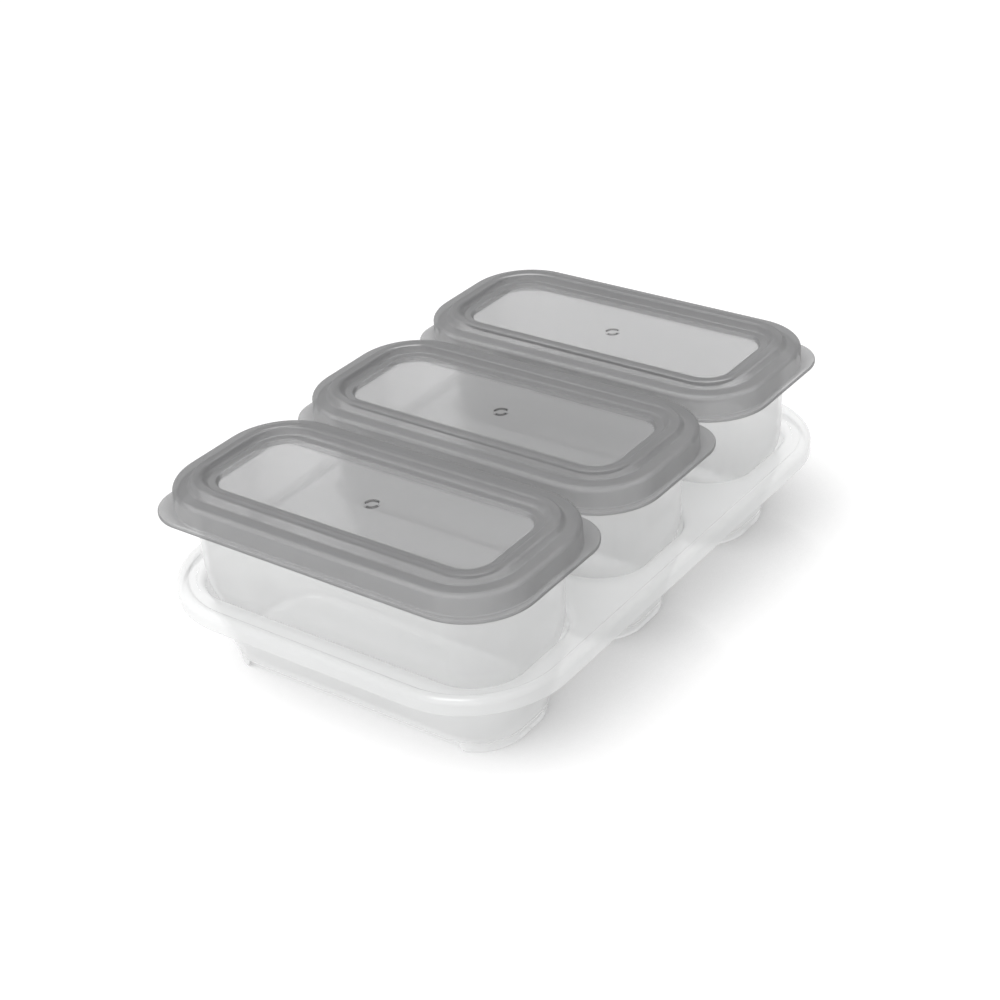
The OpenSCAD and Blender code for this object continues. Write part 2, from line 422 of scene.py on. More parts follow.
@dataclass(frozen=True)
class MouldedSurface:
    """The surface of moulded plastic, as a node group that all the plastics share."""

    grain_detail: float = 3.0
    grain_share: float = 0.04
    wave_detail: float = 1.5
    wave_stretch: Triple = (0.35, 1.0, 0.6)
    cloud_size: float = 22.0
    cloud_detail: float = 4.0
    cloud_from: float = 0.35
    cloud_to: float = 0.65

    def group(self) -> bpy.types.NodeTree:
        """Builds the group.

        Height is a fine frosting grain plus long faint waves left by the flow of the plastic. Patches is a
        cloudy mask from 0 to 1, for small changes of roughness and tint.

        Returns:
            The group, with inputs Vector, Grain size and Wave size.
        """
        group = bpy.data.node_groups.new("moulded_surface", "ShaderNodeTree")
        group.interface.new_socket("Vector", in_out="INPUT", socket_type="NodeSocketVector")
        for name in ("Grain size", "Wave size"):
            group.interface.new_socket(name, in_out="INPUT", socket_type="NodeSocketFloat")
        for name in ("Height", "Patches"):
            group.interface.new_socket(name, in_out="OUTPUT", socket_type="NodeSocketFloat")
        wiring = Wiring(group)
        start, end = group.nodes.new("NodeGroupInput").outputs, group.nodes.new("NodeGroupOutput")

        def noise(size: Socket | float, detail: float, stretch: Triple = (1.0, 1.0, 1.0)) -> Socket:
            """Adds a noise texture on the stretched coordinates."""
            place = wiring.add("Mapping", {"Scale": stretch, "Vector": start["Vector"]}).outputs["Vector"]
            return wiring.add("TexNoise", {"Vector": place, "Scale": size, "Detail": detail}).outputs["Fac"]

        grain = wiring.maths(Maths.MULTIPLY, noise(start["Grain size"], self.grain_detail), self.grain_share)
        waves = noise(start["Wave size"], self.wave_detail, self.wave_stretch)
        clouds = noise(self.cloud_size, self.cloud_detail)
        wiring.feed(end, {"Height": wiring.maths(Maths.ADD, waves, grain),
                          "Patches": wiring.ranged(clouds, 0.0, 1.0, self.cloud_from, self.cloud_to)})
        return group


@dataclass(frozen=True)
class PlasticFinish:
    """A see-through plastic, whose opacity rises from alpha, square on, to alpha_edge at a grazing look."""

    slot: Slot
    tint: Triple
    tint_deep: Triple
    roughness: float
    bump: float
    alpha: float
    alpha_edge: float
    specular: float
    transmission: float = 0.1
    grain_size: float = 1800.0
    wave_size: float = 45.0
    open_to: float = 0.2  # Layer Weight up to which the opacity is alpha
    dense_from: float = 0.85  # Layer Weight from which it is alpha_edge
    alpha_inside: float = 0.06  # opacity where a ray leaves the wall
    passed: float = 0.05  # share of the opacity that shadow and diffuse rays meet
    ior: float = 1.46
    rougher: float = 1.15  # how much rougher the patches are
    bump_height: float = 0.0002  # in metres

    def material(self, group: bpy.types.NodeTree) -> Material:
        """Builds the material: the group's patches vary tint and roughness, and its height makes the bump.

        Args:
            group: The moulded surface node group.

        Returns:
            The material.
        """
        material = bpy.data.materials.new(self.slot.value)
        material.use_nodes = True
        wiring = Wiring(material.node_tree)
        shader = material.node_tree.nodes["Principled BSDF"]
        surface = wiring.add("Group")
        surface.node_tree = group
        wiring.feed(surface, {"Vector": wiring.add("TexCoord").outputs["Object"],
                              "Grain size": self.grain_size, "Wave size": self.wave_size})
        bump = wiring.add("Bump", {"Strength": self.bump, "Distance": self.bump_height,
                                   "Height": surface.outputs["Height"]})
        patches = surface.outputs["Patches"]
        colour = wiring.mixed(Blend.COLOUR, patches, self.tint, self.tint_deep)
        roughness = wiring.ranged(patches, self.roughness, self.roughness * self.rougher)
        wiring.feed(shader, {"Base Color": self.marked(wiring, colour), "Roughness": roughness,
                             "Normal": bump.outputs["Normal"], "IOR": self.ior,
                             "Specular IOR Level": self.specular,
                             "Transmission Weight": self.transmission, "Alpha": self.opacity(wiring)})
        return material

    def marked(self, wiring: Wiring, colour: Socket) -> Socket:
        """Returns the colour with what is marked on the mesh, which here is nothing."""
        return colour

    def limits(self, wiring: Wiring) -> tuple[Socket | float, Socket | float]:
        """Returns the opacity seen square on and at a grazing look."""
        return self.alpha, self.alpha_edge

    def opacity(self, wiring: Wiring) -> Socket:
        """Builds the opacity: denser at a grazing look, thin where a ray leaves the wall or is a shadow's.

        Args:
            wiring: Adds nodes to the material.

        Returns:
            The socket that holds the opacity.
        """
        facing = wiring.add("LayerWeight", {"Blend": 0.5}).outputs["Facing"]
        dense = wiring.ranged(facing, *self.limits(wiring), self.open_to, self.dense_from)
        leaving = wiring.add("NewGeometry").outputs["Backfacing"]
        wall = wiring.mixed(Blend.NUMBER, leaving, dense, self.alpha_inside)
        path = wiring.add("LightPath").outputs
        hidden = wiring.maths(Maths.MAXIMUM, path["Is Shadow Ray"], path["Is Diffuse Ray"])
        return wiring.maths(Maths.MULTIPLY, wall, wiring.ranged(hidden, 1.0, self.passed))


@dataclass(frozen=True)
class LidFinish(PlasticFinish):
    """The lids' plastic: lighter where it is thin, with painted light on the wall's outside and painted shade
    on the mark's arcs.
    """

    film_alpha: float = 0.54
    # lighter tint of thin plastic; on the wall's outside the same tint is painted light
    thin_and_painted_light_tint: Triple = (0.345, 0.345, 0.348)
    # painted shade: the dark tint of the mark's arcs
    mark_painted_shade_tint: Triple = (0.03, 0.03, 0.03)

    def marked(self, wiring: Wiring, colour: Socket) -> Socket:
        """Returns the colour mixed with the thin plastic's tint, which also paints light on the wall's
        outside, and with the painted shade of the mark's arcs.
        """
        # the thin plastic's tint, which on the wall's outside is painted light
        thin = wiring.mixed(Blend.COLOUR, wiring.attribute("film_and_painted_light"), colour, self.thin_and_painted_light_tint)
        return wiring.mixed(Blend.COLOUR, wiring.attribute("mark"), thin, self.mark_painted_shade_tint)

    def limits(self, wiring: Wiring) -> tuple[Socket | float, Socket | float]:
        """Returns the opacity square on and at a grazing look, both nearer to film_alpha where the plastic is
        thin and on the wall's outside, where light is painted.
        """
        film_and_painted_light = wiring.attribute("film_and_painted_light")
        return tuple(wiring.ranged(film_and_painted_light, end, self.film_alpha) for end in (self.alpha, self.alpha_edge))


@dataclass(frozen=True)
class FloorFinish:
    """A plain white floor that keeps the shadow and shows white to the camera where it is fully lit.

    The soft shade close to the set comes from how much of the sky on one side is hidden by things nearer than
    the reach. It is weaker where the floor is seen through the plastic.
    """

    colour: float = 0.9
    roughness: float = 0.9
    lift: float = 0.25  # light that the floor gives off to the camera, so that it shows white
    reach: float = 0.055  # in metres
    toward: Triple = (-0.4, -0.75, 0.8)
    shade: float = 0.44  # share of its white that is left in the deepest shade
    shade_through: float = 0.68  # the same, seen through the plastic
    dark_from: float = 0.12  # share of open sky up to which the shade is deepest
    clear_from: float = 0.82  # share of open sky from which there is no shade

    def material(self) -> Material:
        """Builds the material: a matt surface, lifted to white for camera, mirror and see-through rays.

        Returns:
            The material.
        """
        material = bpy.data.materials.new("white_floor")
        material.use_nodes = True
        wiring = Wiring(material.node_tree)
        shader = material.node_tree.nodes["Principled BSDF"]
        wiring.feed(shader, {"Base Color": 3 * (self.colour,), "Roughness": self.roughness,
                             "Specular IOR Level": 0.0})

        lean = wiring.add("CombineXYZ", dict(zip("XYZ", Vector(self.toward).normalized())))
        sky = wiring.add("AmbientOcclusion", {"Distance": self.reach, "Normal": lean.outputs["Vector"]})
        behind = wiring.add("LightPath").outputs["Transparent Depth"]
        deepest = wiring.ranged(behind, self.shade, self.shade_through)
        lit = wiring.ranged(sky.outputs["AO"], deepest, 1.0, self.dark_from, self.clear_from)

        white = wiring.maths(Maths.MULTIPLY, lit, self.colour)
        tone = wiring.add("CombineColor", dict.fromkeys(("Red", "Green", "Blue"), white))
        matt = wiring.add("BsdfDiffuse", {"Color": tone.outputs["Color"]})
        glow = wiring.add("Emission", {"Strength": wiring.maths(Maths.MULTIPLY, lit, self.lift)})
        both = wiring.add("AddShader", {0: matt.outputs["BSDF"], 1: glow.outputs["Emission"]})
        wiring.show(shader.outputs["BSDF"], both.outputs["Shader"], "Material Output")
        return material


@dataclass
class Container:
    """One clear container: a base tapering to a knee, a nearly upright wall and an out-turned rounded rim."""

    row: int
    mouth: Section = MOUTH
    knee: Section = KNEE
    base: Section = BASE
    wall: float = 1.3
    base_round: float = 2.5  # between the wall and the underside
    inner_round: float = 2.4  # between the wall and the inner floor
    rim_reach: float = 3.4
    rim_thick: float = 1.6
    rim_fillet: float = 0.5  # under the rim
    mouth_round: float = 0.6  # on the inner edge of the mouth
    knee_reach: float = 0.13  # share of the lower wall over which the knee is rounded
    knee_above: float = 0.8  # how much of that share the rounding takes of the upper wall
    stand_in: float = 3.2  # width of the flat ring on which it stands
    dish: float = 0.5  # how far the middle of the underside is raised

    def underside(self) -> list[Level]:
        """Works out the underside: its raised middle, the ring on which it stands and the rounding beyond.

        Returns:
            Levels in the order of the skin.
        """
        foot = self.base.grown(-self.base_round)
        edge = -self.stand_in
        dish = [(-9.0, self.dish), (edge - 1.0, self.dish), (edge - 0.6, 0.84 * self.dish),
                (edge - 0.3, 0.2 * self.dish), (edge, 0.0), (-0.3, 0.0)]
        levels = offsets(foot, [(by, FLOOR_Z + rise) for by, rise in dish])
        return levels + offsets(foot, arc((0, FLOOR_Z + self.base_round), self.base_round, -90, 0, 8))

    def rim(self) -> list[Level]:
        """Works out the rim: a fillet under it, its half-round edge and the rounded edge of the mouth.

        Returns:
            Levels in the order of the skin.
        """
        under, half = RIM_Z - self.rim_thick, self.rim_thick / 2
        points = arc((self.rim_fillet, under - self.rim_fillet), self.rim_fillet, 180, 90, 4)
        points += arc((self.rim_reach - half, under + half), half, -90, 90, 10)
        inner_edge = arc((self.mouth_round, RIM_Z - self.mouth_round), self.mouth_round, 90, 180, 5)
        return offsets(self.mouth, points) + offsets(self.mouth.grown(-self.wall), inner_edge)

    def side_wall(self, low: Level, knee: Level, high: Level) -> list[Level]:
        """Works out a side wall, straight from a low level to the knee and from there to a high one.

        A level on a straight is a mix of its ends. Near the knee the wall follows the quadratic curve with
        the two straights as tangents, which is a mix of mixes.

        Args:
            low: Where the wall starts.
            knee: Where the two straights would meet.
            high: Where it ends.

        Returns:
            Levels from low to high.
        """
        levels = [low.toward(knee, t) for t in (0.0, 0.02, 0.3, 0.6, 1 - 2 * self.knee_reach)]
        before = low.toward(knee, 1 - self.knee_reach)
        after = knee.toward(high, self.knee_above * self.knee_reach)
        levels += [before.toward(knee, t).toward(knee.toward(after, t), t) for t in np.linspace(0, 1, 7)]
        return levels + [knee.toward(high, t) for t in (0.3, 0.65, 0.97, 1.0)]

    def rings(self) -> Rings:
        """Works out the skin, from the middle of the underside over the rim to the middle of the floor.

        Returns:
            Rings in the order of the skin.
        """
        under_rim = RIM_Z - self.rim_thick - self.rim_fillet
        outside = self.side_wall(Level(self.base, FLOOR_Z + self.base_round), Level(self.knee, DECK_Z),
                                 Level(self.mouth, under_rim))
        inner_z = FLOOR_Z + self.wall
        round_z = inner_z + self.inner_round
        inner_base = self.base.grown(-self.wall)
        inside = self.side_wall(Level(inner_base, round_z), Level(self.knee.grown(-self.wall), DECK_Z),
                                Level(self.mouth.grown(-self.wall), RIM_Z - 2 * self.mouth_round))
        floor = arc((0, round_z), self.inner_round, 0, -90, 7) + [(-0.3, inner_z), (-8.0, inner_z)]
        levels = self.underside() + outside + self.rim() + inside[::-1]
        levels += offsets(inner_base.grown(-self.inner_round), floor)
        return [level.ring(row_middle(self.row)) for level in levels]

    def build(self, material: Material) -> None:
        """Makes the container in the place of its CAD node.

        Args:
            material: The clear plastic.
        """
        skin = Skin()
        skin.add_rings(self.rings(), closed_start=True, closed_end=True)
        skin.to_piece(f"clear_container_{self.row}", f"container_{self.row}", material)


@dataclass
class Lid:
    """One grey lid: flange with two pull corners, wall, shoulder, rounded ridge, ledge and thin sunken panel.

    A profile's points are distances from the wall's outer face, below 0 towards the middle, and heights.
    """

    row: int
    outer: Section = MOUTH.grown(5.1)
    flange: Section = Section(124.1, 61.2, 20.5, 13.4)
    flange_z: float = 52.3
    flange_thick: float = 1.2
    flange_round: float = 0.35  # on the flange's edges
    flange_fillet: float = 0.45  # between the flange and the wall
    wall: float = 1.4
    shoulder_z: float = 60.2
    shoulder_round: float = 1.3
    shoulder_width: float = 4.9
    ridge_z: float = 62.3
    ridge_fillet: float = 0.7  # between the shoulder and the ridge
    ridge_lean: float = 0.5
    ridge_outer_round: float = 1.1
    ridge_inner_round: float = 1.6
    ridge_flat: float = 1.4
    slope_angle: float = 51.0
    slope_fillet: float = 0.7
    ledge_width: float = 2.0
    ledge_round: float = 0.4
    panel_z: float = 58.8
    step_lean: float = 0.3
    step_fillet: float = 0.25  # between the step and the panel
    under_slope: Point = (8.1, 9.6)  # insets between which the slope's underside runs
    corner_soft: float = 0.4  # size of the roundings inside the underside's corners
    edge_soft: float = 0.3  # size of the bevels on the underside's edges
    mark_radius: float = 2.0
    mark_line: float = 0.6
    mark_depth: float = 0.3
    mark_open: float = 37.0  # direction of the line along which the mark's painted shade is open, in degrees
    wall_painted_light: float = 0.15  # painted light: how much lighter the wall's outside is tinted, on a scale where the panel is 1
    flange_film: Point = (0.9, 0.5)  # how thin the flange looks, at the wall and far out in a pull corner
    flange_film_from: float = 1.5  # distance from the wall at which the flange starts to look thicker
    flange_film_run: float = 2.0  # and how far it goes on

    def top_profile(self) -> list[Point]:
        """Works out the upper profile, from the wall over the ridge to the panel, an arc at every edge.

        Returns:
            Points from the wall inwards.
        """
        shoulder_mid = (-self.shoulder_round, self.shoulder_z - self.shoulder_round)
        foot = self.ridge_fillet - self.shoulder_width
        crest = -self.shoulder_width - self.ridge_lean - self.ridge_outer_round
        crest_end = crest - self.ridge_flat
        turn = math.radians(self.slope_angle)
        inner, foot_fillet = self.ridge_inner_round, self.slope_fillet
        slope_drop = self.ridge_z - self.shoulder_z - (inner + foot_fillet) * (1 - math.cos(turn))
        ledge_from = crest_end - (inner + foot_fillet) * math.sin(turn) - slope_drop / math.tan(turn)
        ledge_edge = ledge_from - self.ledge_width
        step_foot = ledge_edge - self.step_lean
        edge, fillet = self.ledge_round, self.step_fillet
        return [
            (0.0, self.flange_z + self.flange_thick + 0.8), (0.0, shoulder_mid[1] - 0.2),
            *arc(shoulder_mid, self.shoulder_round, 0, 90, 8),
            (shoulder_mid[0] - 0.3, self.shoulder_z), (foot + 0.1, self.shoulder_z),
            *arc((foot, self.shoulder_z + self.ridge_fillet), self.ridge_fillet, -90, -166, 5),
            *arc((crest, self.ridge_z - self.ridge_outer_round), self.ridge_outer_round, 12, 90, 8),
            (crest - self.ridge_flat / 2, self.ridge_z),
            *arc((crest_end, self.ridge_z - inner), inner, 90, 90 + self.slope_angle, 7),
            *arc((ledge_from, self.shoulder_z + foot_fillet), foot_fillet, self.slope_angle - 90, -90, 5),
            (ledge_from - 0.3, self.shoulder_z), (ledge_edge + edge + 0.1, self.shoulder_z),
            *arc((ledge_edge + edge, self.shoulder_z - edge), edge, 90, 170, 5),
            (step_foot + 0.05, self.panel_z + fillet),
            (step_foot - 0.3 * fillet, self.panel_z + 0.3 * fillet),
            (step_foot - fillet, self.panel_z), (step_foot - 0.6, self.panel_z)]

    def softened(self, distance: float, z: float, way: int) -> list[Point]:
        """Returns points that round an inner corner of the underside, from level to up (1) or down (-1)."""
        soft = self.corner_soft
        return [(distance - soft, z), (distance - soft / 4, z + way * soft / 4), (distance, z + way * soft)]

    def bevelled(self, distance: float, z: float, way: int) -> list[Point]:
        """Returns points that bevel an edge of the underside, from above (1) or below it (-1) to level."""
        return [(distance, z + way * self.edge_soft), (distance + self.edge_soft, z)]

    def under_profile(self) -> list[Point]:
        """Works out the underside's profile, from the panel out to the foot of the wall.

        Returns:
            Points from the panel outwards.
        """
        panel_from = self.top_profile()[-1][0]
        film_z = self.panel_z - self.wall
        ledge_z = self.shoulder_z - self.wall
        arch_z = self.ridge_z - self.wall
        arch = -self.shoulder_width - self.ridge_lean - self.wall
        crest_end = arch + self.wall - self.ridge_outer_round - self.ridge_flat
        step = panel_from + 0.6 + self.wall
        slope_top, slope_foot = self.under_slope
        return [(panel_from, film_z), *self.softened(step, film_z, 1),
                *self.bevelled(step + self.step_lean, ledge_z, -1),
                (-slope_foot - 0.3, ledge_z), (-slope_foot, ledge_z + 0.1),
                (-slope_top, arch_z - 0.1), (crest_end, arch_z),
                *self.softened(arch, arch_z, -1), *self.bevelled(arch, RIM_Z, 1),
                *self.softened(-self.wall, RIM_Z, -1), (-self.wall, self.flange_z + 0.5),
                *self.bevelled(-self.wall, self.flange_z, 1)]

    def brim(self) -> list[Level]:
        """Works out the flange's rounded edge, from its underside to the fillet at the wall's foot.

        Returns:
            Levels in the order of the skin.
        """
        edge, fillet = self.flange_round, self.flange_fillet
        bottom, top = self.flange_z, self.flange_z + self.flange_thick
        points = [(-0.5, bottom), *arc((0, bottom + edge), edge, -90, 0, 4),
                  *arc((0, top - edge), edge, 0, 90, 4), (-0.15, top)]
        foot = arc((fillet, top + fillet), fillet, -90, -180, 5)
        return offsets(self.flange.grown(-edge), points) + offsets(self.outer, foot)

    def mark_rings(self) -> Rings:
        """Works out the moulding mark: circles whose depth is half a sine wave across the line.

        Returns:
            Rings from the outside to the middle.
        """
        share = np.linspace(0, 1, 9)
        radius = self.mark_radius + self.mark_line * (0.5 - share)
        depth = self.mark_depth * np.sin(np.pi * share)
        groove = [circle_ring(float(r), self.panel_z - float(d)) for r, d in zip(radius, depth)]
        around, within, middle = (circle_ring(r, self.panel_z) for r in (self.mark_radius + 0.8, 1.0, 0.3))
        return [around, *groove, within, middle]

    def rings(self) -> Rings:
        """Works out the skin, from the middle of the underside round the flange to the middle of the top.

        Returns:
            Rings in the order of the skin.
        """
        middle_under = [circle_ring(r, self.panel_z - self.wall) for r in (0.3, 2.8)]
        levels = offsets(self.outer, self.under_profile()) + self.brim()
        round_lid = [level.ring() for level in levels + offsets(self.outer, self.top_profile())]
        mark = self.mark_rings()
        rings = [*middle_under, *spread(middle_under[-1], round_lid[0], (0.5,)), *round_lid,
                 *spread(round_lid[-1], mark[0], (0.25, 0.5, 0.75)), *mark]
        shift = np.array([*row_middle(self.row), 0.0])
        return [r + shift for r in rings]

    def build(self, material: Material) -> None:
        """Makes the lid in the place of its CAD node and marks where it is thin and where light and shade are
        painted.

        Args:
            material: The grey plastic.
        """
        skin = Skin()
        skin.add_rings(self.rings(), closed_start=True, closed_end=True)
        piece = skin.to_piece(f"grey_lid_{self.row}", f"lid_{self.row}", material)
        self.mark_thinness_and_painted_light(piece)

    def mark_thinness_and_painted_light(self, piece: Object) -> None:
        """Writes two attributes: film, how thin the plastic looks with painted light on the wall's outside,
        and mark, 1 on the moulding mark's arcs, where shade is painted.

        Film is 1 on the panel apart from the mark, falls outwards over the flange, is small on the wall's
        outside, where it paints light, and 0 elsewhere. The mark's painted shade is open for about 25 degrees
        on each side of its open line.

        Args:
            piece: The lid.
        """
        place = np.empty(len(piece.data.vertices) * 3)
        piece.data.vertices.foreach_get("co", place)
        place = place.reshape(-1, 3) / MM - np.array([*row_middle(self.row), 0.0])
        height = place[:, 2]
        panel_edge = self.outer.grown(self.top_profile()[-1][0] + 0.35)
        panel = (panel_edge.beyond(place) < 0) & (height < self.panel_z + 0.2)

        # painted shade: dark arcs on the mark's groove, left open on two sides, stand in for the shade in its
        # steep walls
        from_line = np.abs(np.hypot(place[:, 0], place[:, 1]) - self.mark_radius)
        groove = (from_line < 0.55 * self.mark_line) & (height > self.panel_z - self.mark_depth - 0.01)
        turn = np.arctan2(place[:, 1], place[:, 0]) - math.radians(self.mark_open)
        mark = np.clip((np.abs(np.sin(turn)) - 0.3) / 0.25, 0, 1) * groove

        away = self.outer.beyond(place)
        rise = height - self.flange_z
        edge = (rise > 0.02) & (rise < self.flange_thick - 0.02)
        near, far = self.flange_film
        outwards = np.clip((away - self.flange_film_from) / self.flange_film_run, 0, 1)
        flange = np.where(edge, 0.0, near + (far - near) * outwards)
        # painted light: the wall's outside is tinted lighter than the rest of the ring, standing in for the
        # light on the lid's upright sides
        wall = (away > -0.3) & (height < self.shoulder_z - 0.7 * self.shoulder_round)
        film_and_painted_light = np.select((panel, away > 0.5, wall), (1.0 - mark, flange, self.wall_painted_light), 0.0)
        for name, value in (("film_and_painted_light", film_and_painted_light), ("mark", mark)):
            attribute = piece.data.attributes.new(name, "FLOAT", "POINT")
            attribute.data.foreach_set("value", value.astype(np.float32))


@dataclass
class Tray:
    """The clear tray: a deck with a rolled bead and skirt, three wells with rounded lips, and curved feet."""

    outer: Section = Section(131.9, 193.0, 30.9)
    neck: Section = KNEE.grown(0.7)
    inner_base: Section = BASE.grown(0.7)
    outer_base: Section = BASE.grown(2.2)
    wall: float = 1.5
    bead: float = 2.0
    bead_mid_z: float = 27.4
    bead_foot: float = 0.9  # fillet between the deck and the bead
    deck_in: float = 6.1  # from the outermost face to the edge of the deck's flat top
    under_in: float = 4.0  # and to the edge of its flat underside
    skirt_z: float = 24.0
    skirt_round: float = 0.5
    skirt_fillet: float = 0.8
    lip_round: float = 2.6
    neck_fillet: float = 1.2  # between the deck's underside and a well's outside
    inner_round: float = 1.3  # between a well's wall and its floor
    well_round: float = 1.8  # between a well's outside and its underside
    foot_z: float = 3.0
    foot_inset: float = 0.7
    foot_wall: float = 1.8
    foot_arm: float = 11.0
    foot_round: float = 0.35
    foot_run: float = 0.8  # length over which a foot's end rises

    def cell_side(self, section: Section, row: int, side: Side) -> tuple[np.ndarray, np.ndarray]:
        """Works out one side of the cell of deck that surrounds a well, and the outward directions along it.

        A cell is the part of the section between the lines halfway to the neighbouring wells. Points are
        spread evenly by length over half an arc, the straight and half an arc, so neighbouring cells share
        the points of the line between them. A point is an arc's middle plus a radius times the outward
        direction, and on the straight both are mixes of the two ends.

        Args:
            section: The outline that bounds all cells.
            row: The well's row.
            side: Which side of the cell.

        Returns:
            Points of shape (steps + 1, 2) and directions of the same shape.
        """
        middle_y = row_middle(row)[1]
        ends = {-1: (row == FIRST_ROW, middle_y - PITCH / 2), 1: (row == LAST_ROW, middle_y + PITCH / 2)}
        radii, mids = [], []
        for i in (side.value, (side.value + 1) % len(Side)):
            x, y = CORNERS[i]
            at_end, between = ends[y]
            radius = section.corner if at_end else 0.0
            radii.append(radius)
            mids.append(np.array([x * (section.length / 2 - radius),
                                  y * (section.width / 2 - radius) if at_end else between]))
        turn = 90.0 * side.value
        out = np.array([math.cos(math.radians(turn)), math.sin(math.radians(turn))])
        straight = float(np.linalg.norm(mids[1] + out * radii[1] - mids[0] - out * radii[0]))
        stops = np.cumsum([0.0, radii[0] * math.pi / 4, straight, radii[1] * math.pi / 4])
        along = np.linspace(0, stops[-1], SIDE_STEPS[side.value] + 1)
        bends = (turn - 45 * bool(radii[0]), turn, turn, turn + 45 * bool(radii[1]))
        angle = np.radians(np.interp(along, stops, bends))
        way = np.column_stack((np.cos(angle), np.sin(angle)))
        share = np.interp(along, stops, (0, 0, 1, 1))[:, None]
        centre, radius = (a * (1 - share) + b * share for a, b in (mids, radii))
        return centre + radius * way, way

    def cell(self, section: Section, row: int, z: float) -> np.ndarray:
        """Returns a cell's closed outline at a height, of shape (n, 3), matched to a well's rings."""
        return lifted(np.vstack([self.cell_side(section, row, side)[0][:-1] for side in Side]), z)

    def edge_line(self, section: Section) -> tuple[np.ndarray, np.ndarray]:
        """Returns the whole outer outline as the cells' outer sides in turn, with its outward directions.

        Args:
            section: The outline that bounds all cells.

        Returns:
            Points of shape (n, 2) and directions of the same shape.
        """
        order = [(row, Side.RIGHT) for row in ROWS] + [(LAST_ROW, Side.FAR)]
        order += [(row, Side.LEFT) for row in reversed(ROWS)] + [(FIRST_ROW, Side.NEAR)]
        points, ways = zip(*(self.cell_side(section, row, side) for row, side in order))
        return np.vstack([part[:-1] for part in points]), np.vstack([part[:-1] for part in ways])

    def edge_profile(self) -> list[Point]:
        """Works out the profile of bead and skirt as insets from the outermost face and heights.

        The fillet at the bead's foot touches the deck and the bead's circle, so its middle lies at the sum of
        the two radii from the circle's middle.

        Returns:
            Points from the deck's top, round the bead and the skirt, to the deck's underside.
        """
        mid = (self.bead, self.bead_mid_z)
        foot_z = DECK_Z + self.bead_foot
        reach = math.sqrt((self.bead + self.bead_foot) ** 2 - (foot_z - mid[1]) ** 2)
        foot = (mid[0] + reach, foot_z)
        meet = math.degrees(math.atan2(foot_z - mid[1], reach))
        low, fillet = self.skirt_round, self.skirt_fillet
        under_z = DECK_Z - self.wall
        return [(foot[0], DECK_Z), *arc(foot, self.bead_foot, -90, meet - 180, 5),
                *arc(mid, self.bead, meet, 180, 18),
                (0.0, self.skirt_z + low + 0.3), *arc((low, self.skirt_z + low), low, 180, 270, 4),
                *arc((self.wall - low, self.skirt_z + low), low, 270, 360, 4),
                *arc((self.wall + fillet, under_z - fillet), fillet, 180, 90, 5)]

    def edge_rings(self, deck: Section, under: Section) -> Rings:
        """Works out the bead and skirt: the deck's outer line moved along its directions by the profile.

        Args:
            deck: Where the deck's flat top ends.
            under: Where the deck's flat underside ends.

        Returns:
            Rings from the deck's top round the skirt to the deck's underside.
        """
        line, way = self.edge_line(deck)
        half = (self.outer.length - deck.length) / 2
        around = [lifted(line + way * (half - inset), z) for inset, z in self.edge_profile()]
        return [lifted(line, DECK_Z), *around, lifted(self.edge_line(under)[0], DECK_Z - self.wall)]

    def well_levels(self) -> list[Level]:
        """Works out the inside of a well, from its rounded lip down to the floor.

        Returns:
            Levels in the order of the skin.
        """
        neck_z, low_z = DECK_Z - self.lip_round, FLOOR_Z + self.inner_round
        lip = [(self.lip_round + 0.25, DECK_Z), *arc((self.lip_round, neck_z), self.lip_round, 90, 180, 9)]
        floor = arc((0, low_z), self.inner_round, 0, -90, 6) + [(-0.3, FLOOR_Z), (-9.0, FLOOR_Z)]
        wall = self.taper(Level(self.neck, neck_z), Level(self.inner_base, low_z))
        return offsets(self.neck, lip) + wall + offsets(self.inner_base.grown(-self.inner_round), floor)

    def shell_levels(self) -> list[Level]:
        """Works out the outside of a well, from the deck's underside down to the rounded foot of its wall.

        Returns:
            Levels in the order of the skin.
        """
        top, flare = self.neck.grown(self.wall), self.neck_fillet
        under_z, low_z = DECK_Z - self.wall, self.foot_z + self.well_round
        neck = [(flare + 0.2, under_z), *arc((flare, under_z - flare), flare, 90, 180, 5)]
        wall = self.taper(Level(top, under_z - flare), Level(self.outer_base, low_z))
        foot = arc((0, low_z), self.well_round, 0, -70, 6)
        return offsets(top, neck) + wall + offsets(self.outer_base.grown(-self.well_round), foot)

    @staticmethod
    def taper(high: Level, low: Level) -> list[Level]:
        """Returns levels down a well's straight wall, closer together near its ends."""
        return [high.toward(low, t) for t in (0.06, 0.3, 0.6, 0.92, 1.0)]

    def foot_rings(self, middle: Point) -> Rings:
        """Works out the underside with its two curved feet, from the wall's rounded foot to the middle.

        The feet are a band between two concentric outlines, whose depth is the foot's height times a mask: 1
        within the foot's arm from each end of the well, then down to 0 along a smooth step.

        Args:
            middle: Middle of the well.

        Returns:
            Rings from the outside to the middle.
        """
        outer = self.outer_base.grown(-self.foot_inset)
        inner = outer.grown(-self.foot_wall)
        start = outer.length / 2 - self.foot_arm
        edge = ((0.0, 0.12), (0.0, 0.5), (0.02, 0.88), (0.12, 0.97), (self.foot_round, 1.0))
        band = [(outer.grown(0.12), 0.0), *((outer.grown(-by), depth) for by, depth in edge),
                *((inner.grown(by), depth) for by, depth in reversed(edge)), (inner.grown(-0.3), 0.0)]
        rings = []
        for section, depth in band:
            flat = section.outline()
            along = np.clip((np.abs(flat[:, 0]) - start) / self.foot_run + 0.5, 0, 1)
            mask = along * along * (3 - 2 * along)
            rings.append(lifted(flat + np.array(middle), self.foot_z * (1 - depth * mask)))
        return rings + [Level(inner.grown(-8.0), self.foot_z).ring(middle)]

